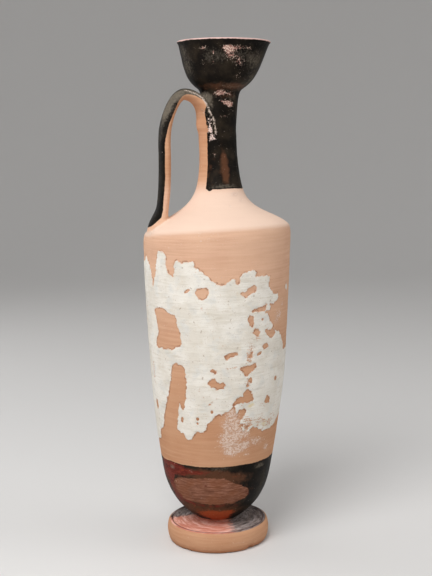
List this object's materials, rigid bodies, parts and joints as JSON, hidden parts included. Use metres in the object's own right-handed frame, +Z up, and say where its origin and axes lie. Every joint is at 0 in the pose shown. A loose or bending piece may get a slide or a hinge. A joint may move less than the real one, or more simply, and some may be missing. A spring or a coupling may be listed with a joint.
{
  "type": "lekythos",
  "caption": "Tall slender one-handled oil flask with a disc foot, sharp shoulder, narrow neck and flaring cup mouth, hollow and empty.",
  "frame": {"origin": "centre of the foot's flat underside", "axes": "+Z up along the vessel, -X towards the handle"},
  "size_m": [0.0858, 0.0859, 0.2947],
  "materials": {
    "fired_clay": "matt orange-buff fired clay, with a worn white slip on the body and worn black gloss on the mouth, neck, handle and lower body"
  },
  "bodies": {
    "root": {"lekythos": "fired_clay"}
  },
  "joints": []
}
